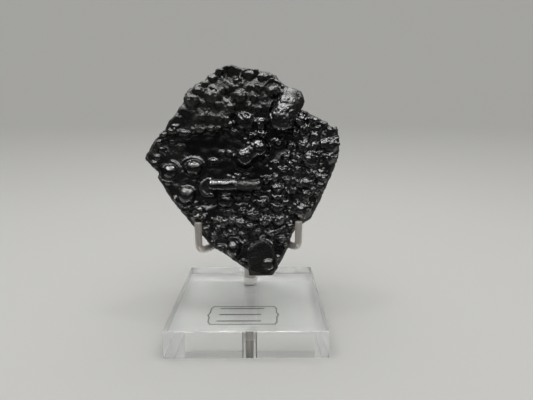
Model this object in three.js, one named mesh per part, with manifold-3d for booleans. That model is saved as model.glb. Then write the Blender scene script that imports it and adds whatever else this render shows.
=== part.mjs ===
// Botryoidal hematite specimen on its display stand. Millimetres, +Z up, the front faces -Y.
// The origin is the centre of the underside of the clear base block.
import * as THREE from 'three';
import { mergeVertices } from 'three/addons/utils/BufferGeometryUtils.js';
import Module from 'manifold-3d';

const wasm = await Module();
wasm.setup();

// ---- stand ----
const gap = 0.3; // clearance between pieces that nest in each other
const block = { side: 50.8, height: 9, edge: 0.5 };
const post = { x: 0, y: 16.5, radius: 2.5, foot: 0.8, top: 33, edge: 0.5, sides: 24 };
const wire = { radius: 1.2, sides: 12, bend: 2.8, bendSteps: 5, socket: 1.6 };
// Each hook's upright stands at x, y; its wire leaves the post at the socket's height.
const leftHook = { x: -16.6, y: -5.6, socketHeight: 26.6, level: 27.4, top: 37.5 };
const rightHook = { x: 17.1, y: -5.6, socketHeight: 29.5, level: 28.4, top: 37.8 };
const backArm = { foot: 31.2, straight: 2, bow: 17.4, bowHeight: 46, tipHeight: 57.5, steps: 10 };
const film = { thickness: 0.2, centreX: -1.35, centreY: -15.6, halfWidth: 11.2, halfHeight: 5.95 };
const filmCorner = { wide: 0.8, tall: 1.6 };
const filmPoint = { wide: 0.65, tall: 1.5 };

// ---- stone: x across, y up along the slab, z out of the botryoidal front ----
const lean = THREE.MathUtils.degToRad(12.55); // how far the slab leans back
const stonePlace = new THREE.Vector3(-2.0, 0.7, 54.3);
const heart = new THREE.Vector2(0, 3); // the slab narrows towards this point at its back
// Each level of the slab's edge: its depth behind the front, and its size against the outline.
const edgeLevels = [[0, 0.965], [-1.1, 1], [-5, 0.99], [-9, 0.95], [-12.6, 0.88]];
// Flat breaks that bevel the sides and the back: a point on each, and how far it turns to the back, in degrees.
const breaks = [
  [0, 35, -5, 38], [18, 27, -4, 50], [33, 9, -5.5, 36], [28, -8, -5, 52], [15, -27, -4, 40], [5, -36, -4, 44],
  [-10, -26, -4, 48], [-24, -10, -5, 38], [-32, 3, -3.5, 46], [-23, 18, -5, 50], [-16, 14, -11.6, 77],
  [17, -9, -11.4, 75], [9, 20, -11.8, 80], [-8, -14, -11.2, 74],
];

const breakSize = 120; // larger than the stone, so that a break cuts right across it

// The slab's broken outline, from its left tip over the top, clockwise from the front.
const outline = [
  [-33.3, 4.1], [-31.2, 8.0], [-29.0, 11.4], [-25.7, 14.0], [-22.7, 18.0], [-19.9, 22.2], [-19.0, 26.2],
  [-16.0, 28.6], [-13.1, 30.1], [-11.5, 32.6], [-8.0, 34.7], [-3.6, 36.4], [-0.3, 35.1], [4.8, 34.3],
  [9.7, 33.3], [12.6, 30.8], [17.4, 27.6], [20.7, 24.9], [20.3, 21.0], [26.3, 17.8], [31.4, 14.5],
  [33.4, 11.1], [33.3, 6.8], [31.1, -0.1], [26.5, -10.6], [23.5, -16.6], [18.2, -20.5], [15.8, -26.6],
  [13.5, -31.0], [11.4, -34.3], [8.4, -36.1], [5.5, -36.0], [-1.8, -31.7], [-9.5, -26.6], [-13.1, -23.0],
  [-17.7, -18.1], [-21.8, -13.0], [-25.7, -7.5], [-28.9, -2.5], [-30.7, 1.1],
];

// The raised shelf of the upper left: its lip overhangs the smooth recess below it.
const shelf = [
  [-28.5, 11.8], [-22.5, 11.9], [-18.8, 11.4], [-14.3, 12.3], [-9.5, 13.4], [-5.5, 13.6], [-3.2, 15.6],
  [-2.6, 21.0], [-6.0, 27.0], [-12.5, 28.5], [-17.6, 25.6], [-19.0, 21.6], [-24.8, 14.2],
];
const shelfRise = 2.6;
const shelfRoot = -3;

// Broad swellings and hollows of the front: [x, y, half width, half length, height or depth].
const swells = [[25.2, 0, 8.5, 18, 1.6], [7, 26, 11, 8, 1.2], [-20, -4, 9, 12, 0.8], [2, -19, 14, 8, 0.8]];
const hollows = [
  [-3.8, 32.7, 3.2, 2.6, 1.6], [-12, 8.6, 9.6, 3.4, 2.4], [12.4, 6.5, 4.6, 8.6, 2.6], [0.8, -0.3, 8.4, 2.2, 1.4],
  [-12, -11.2, 3.4, 2.2, 1.3],
];

// Large knobs of the crust: [x, y, half width, half height, rise above the front].
const knobs = [
  [2.4, 32.7, 2.4, 2, 1.8], [-1, 24.9, 2.7, 2.2, 2.2], [-17.2, 23.5, 2.6, 2.2, 2.2], [-15.3, 26.9, 1.7, 1.5, 1.3],
  [-10.6, 24.9, 1.7, 1.6, 1.5], [-8, 22.3, 1.4, 1.1, 1.2], [10.5, 27.1, 2.4, 2.2, 2], [1, 16.5, 3.2, 3.2, 2.6],
  [6.5, 15.5, 1.9, 2.2, 1.8], [0.9, 11.1, 1.9, 1.7, 1.4], [-24.7, -0.5, 2.6, 2.6, 2.2], [-16.7, 0.7, 3.2, 2.9, 2.6],
  [-19.1, -8.5, 3.2, 3.2, 2.8], [-5.5, -10.6, 3.1, 2.7, 2.4], [-3.1, -26.9, 2.4, 3.1, 2.4],
  [20.5, -13.6, 3.8, 3.4, 2.6], [-15, -16.4, 2.9, 1.7, 1.8], [23.5, 3.4, 3.2, 3.1, 2], [19.8, 16.7, 2, 2, 1.6],
  [7.8, -17.7, 2.2, 2, 1.8], [12.6, -17.4, 2.7, 2, 1.9], [3.8, -16, 2.7, 1.7, 1.8], [8.2, -3.8, 1.9, 1.9, 1.6],
  [12.3, -6.5, 2.4, 1.7, 1.4], [21.5, -9.2, 2, 2.2, 1.8], [30.3, 13, 2.4, 2, 1.6], [30.3, 8.2, 3.2, 2.4, 1.6],
  [30, 3.8, 2.6, 2, 1.2], [27.3, -3.1, 2.6, 1.7, 1.5], [6.8, -11.3, 2.7, 1.9, 1.8], [20.8, 7.8, 2.2, 2, 1.6],
];

// Smaller grapes of the crust: [x, y, radius].
const grapes = [
  [-31.5, 5.1, 1.4], [-29.3, 6, 1.1], [-26.8, 7.2, 1.4], [-24.2, 9.2, 1.4], [-28.6, 10.6, 1.2], [-21.1, 9.5, 1.4],
  [-26.3, 4.4, 1.4], [-29.7, 1.7, 1.4], [-20.8, 4.4, 1.4], [-19.8, -2.7, 1.4], [-24.2, -4.8, 1.4],
  [-27.6, -3, 1.2], [-25.2, -7.5, 1.2], [-22.7, -10.2, 1.2], [-19.4, -13.5, 1.7], [-14.7, -12.9, 1.4],
  [-25.2, 13, 1.4], [-22, 13.3, 1.6], [-18.6, 12.9, 1.9], [-14.3, 13.6, 2], [-9.9, 14.4, 1.6], [-6.6, 14.6, 1.3],
  [-13.8, 18.1, 1.7], [-9, 18.2, 1.6], [-11.2, 30, 1.7], [-7.5, 30.4, 1.6], [-9.2, 27.3, 1.4], [-5, 21, 1.5],
  [6.8, 31, 1.7], [4.8, 28.2, 1.7], [7.2, 24.4, 1.7], [3.4, 21.6, 1.5], [-1, 20.2, 1.5], [13.6, 28.6, 1.6],
  [21.8, 14.2, 1.7], [23.2, 18.4, 1.6], [26.4, 16.8, 1.6], [28.9, 10, 1.7], [32, 10.6, 1.4], [25.4, 11.6, 1.5],
  [16.2, 3.7, 1.5], [26.8, 4.6, 1.4], [19.6, 1.7, 1.5], [23.5, -1.2, 1.6],
  [27.3, 0.2, 1.5], [17.4, -3, 1.5], [20.4, -4.4, 1.8], [24.4, -4.2, 1.6], [28.4, -6, 1.3], [18.1, -7.4, 1.6],
  [25.4, -8.6, 1.6], [16.4, -10.9, 1.5], [14.2, -1, 1.5], [14.7, -8, 1.5], [8.9, -8, 1.5], [5.5, -8.2, 1.6],
  [1.5, -10, 1.7], [9.9, -11.2, 1.6], [13.5, -12.4, 1.4], [0.3, -14.5, 1.5], [-4, -14.3, 1.7],
  [-9.4, -16.4, 1.6], [-6.1, -17.9, 1.9], [-2.4, -17.5, 1.9], [1.6, -18.8, 1.7], [-1.4, -21.1, 1.6],
  [-5, -21.2, 1.6], [-9, -21.4, 1.6], [-7.6, -25, 1.7], [-5.6, -28.2, 1.3], [1.2, -24, 1.7], [4.5, -21.4, 1.5],
  [9.9, -20.4, 1.7], [13.6, -20.6, 1.5], [15.4, -23.6, 1.6], [14, -27.4, 1.6],
];
const grapeRise = 0.75; // of the radius

// Stalactitic fingers lying on the front, as rounded rods: [from, to, radius], each end [x, y, z].
const fingers = [
  [[15.6, 21.6, 2.4], [13.6, 16.9, 3.8], 4.0],
  [[0.6, 4.4, 2.4], [5.6, 7.6, 2.4], 2.9],
  [[-11.0, -5.3, 1.9], [5.0, -5.3, 1.9], 1.8],
];
const fingerBulbs = [[-11.6, -6.0, 3.1, 3.2, 2.8], [16.6, 25.0, 3.2, 2.8, 2.8], [18.4, 23.4, 2.5, 3.2, 2.4]];

// The crystal plate at the foot of the front, with its raised rim.
const plate = [
  [2.4, -34.2], [1.8, -26.6], [7.4, -22.9], [10.4, -24.6], [11.1, -27.0], [12.1, -32.6], [8.5, -35.4],
];
const plateRise = 2.3;
const plateRoot = -1.5; // where the plate starts inside the slab
const plateRim = { width: 0.8, depth: 0.6 };
const plateKnob = [8.9, -31.8, 1.9, 1.7, 3.2];

// ---- helpers ----
/** The geometry as a solid: only positions, shared corners merged, collapsed triangles dropped. */
function solidOf(geometry) {
  const bare = new THREE.BufferGeometry();
  bare.setAttribute('position', geometry.getAttribute('position'));
  bare.setIndex(geometry.getIndex());
  const merged = mergeVertices(bare, 1e-4);
  const corners = merged.getIndex().array;
  const kept = [];
  for (let i = 0; i < corners.length; i += 3) {
    const [a, b, c] = corners.slice(i, i + 3);
    if (a !== b && b !== c && c !== a) kept.push(a, b, c);
  }
  return new wasm.Manifold(new wasm.Mesh({
    numProp: 3,
    vertProperties: new Float32Array(merged.getAttribute('position').array),
    triVerts: new Uint32Array(kept),
  }));
}

/** A solid as a geometry that a mesh can show. */
function geometryOf(solid) {
  const { vertProperties, triVerts } = solid.getMesh();
  const geometry = new THREE.BufferGeometry();
  geometry.setAttribute('position', new THREE.BufferAttribute(vertProperties, 3));
  geometry.setIndex(new THREE.BufferAttribute(triVerts, 1));
  geometry.computeVertexNormals();
  return geometry;
}

const union = (solids) => solids.reduce((whole, solid) => whole.add(solid));
const points = (pairs) => pairs.map(([x, y]) => new THREE.Vector2(x, y));

/** A round profile turned about Z: pairs of [radius, height]. */
function turned(profile, sides) {
  return new THREE.LatheGeometry(points(profile), sides).rotateX(Math.PI / 2);
}

/** A path that steps from point to point, so a straight stretch costs one step. */
class PointPath extends THREE.Curve {
  constructor(stops) {
    super();
    this.stops = stops;
  }

  getPoint(t) {
    const place = t * (this.stops.length - 1);
    const first = Math.min(Math.floor(place), this.stops.length - 2);
    return this.stops[first].clone().lerp(this.stops[first + 1], place - first);
  }

  getPointAt(t) {
    return this.getPoint(t);
  }

  getTangentAt(t) {
    const last = this.stops.length - 1;
    const here = Math.round(t * last);
    const before = this.stops[Math.max(here - 1, 0)];
    const after = this.stops[Math.min(here + 1, last)];
    return after.clone().sub(before).normalize();
  }
}

/** A round rod along the stops. */
function rod(stops, radius) {
  const corner = (_, i) => {
    const turn = (i + 0.5) * 2 * Math.PI / wire.sides;
    return new THREE.Vector2(radius * Math.cos(turn), radius * Math.sin(turn));
  };
  const section = new THREE.Shape(Array.from({ length: wire.sides }, corner));
  return new THREE.ExtrudeGeometry(section, { extrudePath: new PointPath(stops), steps: stops.length - 1 });
}

// ---- stand pieces ----
/** The clear square block with a blind bore that takes the foot of the post. */
function blockGeometry() {
  const half = block.side / 2;
  const cut = block.edge;
  const inner = half - cut;
  const corners = [[inner, -half], [half, -inner], [half, inner], [inner, half]];
  const ring = [...corners, ...corners.map(([x, y]) => [-x, -y])];
  const shape = new THREE.Shape(points(ring)
    .map((corner) => corner.multiplyScalar((half - cut) / half)));
  const bevel = { bevelThickness: cut, bevelSize: cut, bevelSegments: 1, depth: block.height - 2 * cut };
  const body = new THREE.ExtrudeGeometry(shape, bevel).translate(0, 0, cut);
  const boreRadius = post.radius + gap;
  const above = block.height + 1;
  const bore = turned([[0, post.foot], [boreRadius, post.foot], [boreRadius, above], [0, above]], post.sides)
    .translate(post.x, post.y, 0);
  return geometryOf(solidOf(body).subtract(solidOf(bore)));
}

/** The stops of a front arm: straight out of the post, then bent upright into a hook. */
function hookStops(hook) {
  const out = new THREE.Vector2(hook.x - post.x, hook.y - post.y);
  const reach = out.length();
  out.normalize();
  const stop = (distance, height) => (
    new THREE.Vector3(post.x + out.x * distance, post.y + out.y * distance, height));
  const stops = [stop(post.radius - wire.socket, hook.socketHeight)];
  for (let i = 0; i <= wire.bendSteps; i += 1) {
    const turn = i / wire.bendSteps * Math.PI / 2;
    const along = reach - wire.bend * (1 - Math.sin(turn));
    stops.push(stop(along, hook.level + wire.bend * (1 - Math.cos(turn))));
  }
  stops.push(stop(reach, hook.top));
  return stops;
}

/** The stops of the back arm: up out of the post, bowed back, its tip leaning onto the stone. */
function backStops() {
  const tip = new THREE.Vector3(post.x, backTipY(), backArm.tipHeight);
  const curve = new THREE.CatmullRomCurve3([
    new THREE.Vector3(post.x, post.y, backArm.foot),
    new THREE.Vector3(post.x, post.y, post.top + backArm.straight),
    new THREE.Vector3(post.x, backArm.bow, backArm.bowHeight),
    tip,
  ]);
  return curve.getSpacedPoints(backArm.steps);
}

/** Where the back arm's tip stands so that its wire lies against the stone's back. */
function backTipY() {
  const back = -edgeLevels.at(-1)[0];
  const up = (backArm.tipHeight - stonePlace.z + back * Math.sin(lean)) / Math.cos(lean);
  return stonePlace.y + up * Math.sin(lean) + back * Math.cos(lean) + wire.radius + gap;
}

/** The round post that stands in the block's bore, with a socket for each arm. */
function postGeometry(arms) {
  const { radius, foot, top, edge, sides } = post;
  const body = turned([[0, foot], [radius, foot], [radius, top - edge], [radius - edge, top], [0, top]], sides)
    .translate(post.x, post.y, 0);
  return geometryOf(arms.reduce((rest, arm) => rest.subtract(arm), solidOf(body)));
}

/** The printed film on the block, with cut corners and a point at each short end. */
function filmGeometry() {
  const { halfWidth, halfHeight } = film;
  const half = [[halfWidth - filmCorner.wide, -halfHeight], [halfWidth, filmCorner.tall - halfHeight],
    [halfWidth, -filmPoint.tall], [halfWidth + filmPoint.wide, 0], [halfWidth, filmPoint.tall],
    [halfWidth, halfHeight - filmCorner.tall], [halfWidth - filmCorner.wide, halfHeight]];
  const shape = new THREE.Shape(points([...half, ...half.map(([x, y]) => [-x, -y])]));
  return new THREE.ExtrudeGeometry(shape, { depth: film.thickness, bevelEnabled: false });
}

// ---- stone ----
/** How far a swelling or hollow reaches at a point, from 0 outside it to 1 in its middle. */
function reachOf([cx, cy, halfWidth, halfLength], x, y) {
  const off = ((x - cx) / halfWidth) ** 2 + ((y - cy) / halfLength) ** 2;
  return off < 1 ? Math.sqrt(1 - off) : 0;
}

/** Whether a point lies on the shelf. */
function onShelf(x, y) {
  let inside = false;
  shelf.forEach(([x1, y1], i) => {
    const [x2, y2] = shelf[(i + 1) % shelf.length];
    if ((y1 > y) !== (y2 > y) && x < (x2 - x1) * (y - y1) / (y2 - y1) + x1) inside = !inside;
  });
  return inside;
}

/** The height of the front at a point, before any knob stands on it. */
function frontAt(x, y) {
  if (onShelf(x, y)) return shelfRise;
  const raised = Math.max(0, ...swells.map((swell) => swell[4] * reachOf(swell, x, y)));
  const sunk = Math.max(0, ...hollows.map((hollow) => hollow[4] * reachOf(hollow, x, y)));
  return raised - sunk;
}

/** An oval lump with its middle at the given height. */
function lump(x, y, z, halfWidth, halfLength, halfHeight, sides, rings) {
  return solidOf(new THREE.SphereGeometry(1, sides, rings).rotateX(Math.PI / 2)
    .scale(halfWidth, halfLength, halfHeight).translate(x, y, z));
}

const mound = ([x, y, halfWidth, halfLength, rise]) => lump(x, y, 0, halfWidth, halfLength, rise, 14, 6);

/** A knob that stands proud of the front by its rise. */
function knob([x, y, halfWidth, halfLength, rise], sides = 10, rings = 5) {
  const tall = Math.max(rise, (halfWidth + halfLength) / 2);
  return lump(x, y, frontAt(x, y) + rise - tall, halfWidth, halfLength, tall, sides, rings);
}

const grape = ([x, y, radius]) => knob([x, y, radius, radius, grapeRise * radius], 6, 4);

/** A finger: a rod with round ends lying on the front. */
function finger([from, to, radius]) {
  const start = new THREE.Vector3(...from);
  const along = new THREE.Vector3(...to).sub(start);
  const length = along.length();
  const turn = new THREE.Quaternion().setFromUnitVectors(new THREE.Vector3(0, 1, 0), along.normalize());
  const middle = start.addScaledVector(along, length / 2);
  return solidOf(new THREE.CapsuleGeometry(radius, length, 4, 12).applyQuaternion(turn)
    .translate(middle.x, middle.y, middle.z));
}

/** A flat-topped form of the given outline, from inside the slab up to its rise. */
function raised(ring, from, rise) {
  const shape = new THREE.Shape(points(ring));
  return solidOf(new THREE.ExtrudeGeometry(shape, { depth: rise - from, bevelEnabled: false })
    .translate(0, 0, from));
}

/** A ring drawn in towards its own middle by about the given width. */
function drawnIn(ring, width) {
  const middle = points(ring).reduce((sum, corner) => sum.add(corner)).divideScalar(ring.length);
  return points(ring).map((corner) => {
    const inward = middle.clone().sub(corner);
    return corner.add(inward.setLength(width)).toArray();
  });
}

/** The slab, narrowing towards its back, with its flat breaks. */
function slab() {
  const steps = edgeLevels.length - 1;
  const shape = new THREE.Shape(points(outline));
  const geometry = new THREE.ExtrudeGeometry(shape, { depth: steps, steps, bevelEnabled: false });
  const corners = geometry.getAttribute('position');
  for (let i = 0; i < corners.count; i += 1) {
    const level = steps - Math.round(corners.getZ(i));
    const [depth, size] = edgeLevels[level];
    const x = heart.x + (corners.getX(i) - heart.x) * size;
    const y = heart.y + (corners.getY(i) - heart.y) * size;
    corners.setXYZ(i, x, y, depth);
  }
  return breaks.map(breakAway).reduce((rest, piece) => rest.subtract(piece), solidOf(geometry));
}

/** The block that a flat break takes away. */
function breakAway([x, y, z, slope]) {
  const back = THREE.MathUtils.degToRad(slope);
  const side = new THREE.Vector3(x - heart.x, y - heart.y, 0).setLength(Math.cos(back));
  const out = side.setZ(-Math.sin(back));
  const turn = new THREE.Quaternion().setFromUnitVectors(new THREE.Vector3(0, 0, 1), out);
  return solidOf(new THREE.BoxGeometry(breakSize, breakSize, breakSize)
    .translate(0, 0, breakSize / 2).applyQuaternion(turn).translate(x, y, z));
}

/** The whole specimen: one solid, its crust fused to the slab, clear of the arms that hold it. */
function stoneGeometry(arms) {
  const ground = union([slab(), raised(shelf, shelfRoot, shelfRise), ...swells.map(mound)]);
  const hollowed = hollows.map(mound).reduce((rest, hollow) => rest.subtract(hollow), ground);
  const tablet = raised(plate, plateRoot, plateRise)
    .subtract(raised(drawnIn(plate, plateRim.width), plateRise - plateRim.depth, plateRise + 1));
  const crust = union([...knobs, ...fingerBulbs, plateKnob].map((row) => knob(row)));
  const whole = union([hollowed, tablet, crust, ...grapes.map(grape), ...fingers.map(finger)]);
  return geometryOf(arms.reduce((rest, arm) => rest.subtract(arm), whole));
}

// ---- materials ----
const material = (color, roughness, metalness, extra = {}) => (
  new THREE.MeshStandardMaterial({ color, roughness, metalness, ...extra }));
const acrylic = () => material(0xe6eae8, 0.06, 0, { transparent: true, opacity: 0.35 });
const steel = () => material(0x8f8b83, 0.38, 1);
const hematite = () => material(0x17181a, 0.2, 0.45);
const clearFilm = () => material(0xdfe0dc, 0.3, 0, { transparent: true, opacity: 0.6 });

function named(name, geometry, finish) {
  const mesh = new THREE.Mesh(geometry, finish);
  mesh.name = name;
  return mesh;
}

// ---- assembly ----
const specimen = new THREE.Group();

const routes = { arm_left: hookStops(leftHook), arm_right: hookStops(rightHook), arm_back: backStops() };
for (const [name, stops] of Object.entries(routes)) {
  specimen.add(named(name, rod(stops, wire.radius), steel()));
}
const armRoom = () => Object.values(routes).map((stops) => rod(stops, wire.radius + gap));

specimen.add(named('base_block', blockGeometry(), acrylic()));
specimen.add(named('post', postGeometry(armRoom().map(solidOf)), steel()));

const label = named('label', filmGeometry(), clearFilm());
label.position.set(film.centreX, film.centreY, block.height);
specimen.add(label);

const seat = new THREE.Group();
seat.position.copy(stonePlace);
seat.rotation.x = Math.PI / 2 - lean;
seat.updateMatrix();
const toStone = seat.matrix.clone().invert();
const roomInStone = armRoom().map((room) => solidOf(room.applyMatrix4(toStone)));
seat.add(named('hematite', stoneGeometry(roomInStone), hematite()));
specimen.add(seat);

export default specimen;
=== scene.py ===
"""Looks for the botryoidal hematite specimen and its clear display stand."""
import math

import bmesh
import bpy
import numpy as np
from mathutils import Matrix, Vector, kdtree, noise


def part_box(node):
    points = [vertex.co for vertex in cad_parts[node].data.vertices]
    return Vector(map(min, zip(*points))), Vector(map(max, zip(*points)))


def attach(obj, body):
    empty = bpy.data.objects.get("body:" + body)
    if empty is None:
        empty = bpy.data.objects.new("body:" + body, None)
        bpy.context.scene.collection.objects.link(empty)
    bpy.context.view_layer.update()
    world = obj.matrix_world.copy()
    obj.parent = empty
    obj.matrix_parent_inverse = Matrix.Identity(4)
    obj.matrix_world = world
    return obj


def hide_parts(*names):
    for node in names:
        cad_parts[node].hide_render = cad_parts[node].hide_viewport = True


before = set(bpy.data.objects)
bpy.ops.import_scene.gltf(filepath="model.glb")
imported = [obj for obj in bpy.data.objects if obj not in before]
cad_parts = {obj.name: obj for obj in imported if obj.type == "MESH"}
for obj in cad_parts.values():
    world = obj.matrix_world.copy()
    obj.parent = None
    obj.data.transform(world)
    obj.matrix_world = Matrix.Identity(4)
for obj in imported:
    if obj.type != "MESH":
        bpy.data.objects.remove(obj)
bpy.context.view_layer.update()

rng = np.random.default_rng(11)
noise.seed_set(11)  # without it noise_vector starts from the clock
MM = 0.001

# ---- the stone's own frame: x across, y up along the slab, z out of its front, in millimetres ----
LEAN = math.radians(12.55)
STONE_PLACE = Vector((-2.0, 0.7, 54.3))
STONE_TO_ROW = Matrix.Translation(STONE_PLACE) @ Matrix.Rotation(math.pi / 2 - LEAN, 4, "X")
HEART = np.array([0.0, 3.0])  # the point that the slab's rings are drawn towards
BACK = -12.6  # depth of the broken back
FRONT_EDGE = (-4.2, -2.4)  # depths between which the broken sides turn into the front
WARP, WARP_SCALE = 0.22, 0.42  # how far the clay is drawn out of true, and how often it turns
VOXEL = 0.21
MOST_TRIANGLES = 195000
ROD_Y = -5.2  # height of the rod that lies across the front
VIEW_CENTRE = np.array([8.35, -10.23])  # where the camera's axis meets the stone's datum plane
VIEW_DEPTH = 134.8

# The stone's outline, the shelf and the crystal plate are rings of points seen from the front.
OUTLINE = [
    (-33.3, 4.1), (-32.7, 5.5), (-31.2, 8), (-30.2, 9.8), (-29, 11.4), (-27.5, 12.4), (-25.7, 14),
    (-24.2, 16.4), (-22.7, 18), (-21.5, 19.9), (-19.9, 22.2), (-19.6, 24.3), (-18.2, 26.7), (-16, 28.6),
    (-13.1, 30.1), (-11.5, 32.6), (-9.5, 33.4), (-8, 34.7), (-6.4, 35.7), (-3.6, 36.4), (-1.7, 35.7),
    (-0.3, 35.1), (2.7, 35.1), (4.8, 34.3), (9.7, 33.3), (11.7, 32.5), (12.6, 30.8), (14.7, 29),
    (17.4, 27.6), (19.6, 26.6), (20.7, 24.9), (20.7, 22.8), (20.3, 21), (22.8, 19.7), (26.3, 17.8),
    (29.6, 15.7), (31.4, 14.5), (32.5, 13.3), (33.4, 11.1), (33.3, 6.8), (32.7, 3.4), (31.1, -0.1),
    (29.5, -3.7), (26.5, -10.6), (23.5, -16.6), (20.5, -18.5), (18.2, -20.5), (16.9, -22.5), (15.8, -26.6),
    (13.5, -31), (11.4, -34.3), (9.7, -35.7), (8.4, -36.1), (5.5, -36), (1.7, -34.1), (-1.8, -31.7),
    (-6.1, -28.6), (-9.5, -26.6), (-11.4, -25.1), (-13.1, -23), (-15.7, -20.3), (-17.7, -18.1),
    (-19.5, -15.7), (-21.8, -13), (-23.9, -10.5), (-25.7, -7.5), (-28, -4), (-28.9, -2.5), (-28.6, -0.8),
    (-30.7, 1.1), (-32.1, 2.5),
]

# Flat breaks that bevel the back: a point on each, and how far it turns to the back, in degrees.
BREAKS = [
    (0, 35, -5, 38), (18, 27, -4, 50), (33, 9, -5.5, 36), (28, -8, -5, 52), (15, -27, -4, 40),
    (5, -36, -4, 44), (-10, -26, -4, 48), (-24, -10, -5, 38), (-32, 3, -3.5, 46), (-23, 18, -5, 50),
    (-16, 14, -11.6, 77), (17, -9, -11.4, 75), (9, 20, -11.8, 80), (-8, -14, -11.2, 74),
]

SHELF = [
    (-28.5, 11.8), (-22.5, 11.9), (-18.8, 11.4), (-14.3, 12.3), (-9.5, 13.4), (-5.5, 13.6), (-3.2, 15.6),
    (-2.6, 21), (-6, 27), (-12.5, 30.5), (-19.6, 25.6), (-21, 21.6), (-26.8, 14.2),
]
SHELF_RISE = 2.6

# Swellings and hollows of the front: (x, y, half width, half length, height).
SWELLS = [(25.2, 0, 10, 21, 1.6), (7, 26, 12, 9, 1.2), (-21, -8, 10, 11, 0.4), (2, -19, 16, 10, 0.8)]
HOLLOWS = [(-3.75, 32.7, 3.3, 2.7, -1.8), (-4.8, 26.4, 1.9, 2.5, -1.7)]

# Facets that face down: (x, y, half width, half height, rise for each millimetre up the stone).
FACETS = [
    (-22.9, 15.7, 4.4, 3.2, 0.25), (-17.9, 18.6, 4.4, 3.2, 0.25), (-9.2, 21, 4.2, 2.2, 0.3),
    (-11.2, 16.2, 5, 2, 0.3),
]

# Sunken places with a flat floor: how deep in the middle, and the ring round each.
SUNKEN = [
    (0.4, [(8.5, 13.5), (16, 12.4), (17.5, 7), (15.5, 3.4), (9.5, 3.6), (8, 8)]),
    (1.2, [(-14.6, -9.6), (-8.4, -9), (-8.6, -12), (-12, -13.8), (-15, -12.8)]),
]

# Round knobs: (x, y, half width, half height, rise).
KNOBS = [
    (-24.7, -0.5, 2.6, 2.6, 2.2), (-16.7, 0.7, 3.2, 2.9, 2.6), (-19.1, -8.5, 3.2, 3.2, 2.8),
    (-5.5, -10.6, 3.1, 2.7, 2.4), (10.5, 27.1, 2.4, 2.2, 2), (-3.1, -26.9, 2.4, 3.1, 2.4),
    (20.5, -13.6, 3.8, 3.4, 2.6), (1, 16.5, 3.4, 3.4, 2.8), (2.4, 32.7, 2.4, 2, 1.8),
    (-9.9, 2.9, 1.6, 1.2, 1.2),
]

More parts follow.
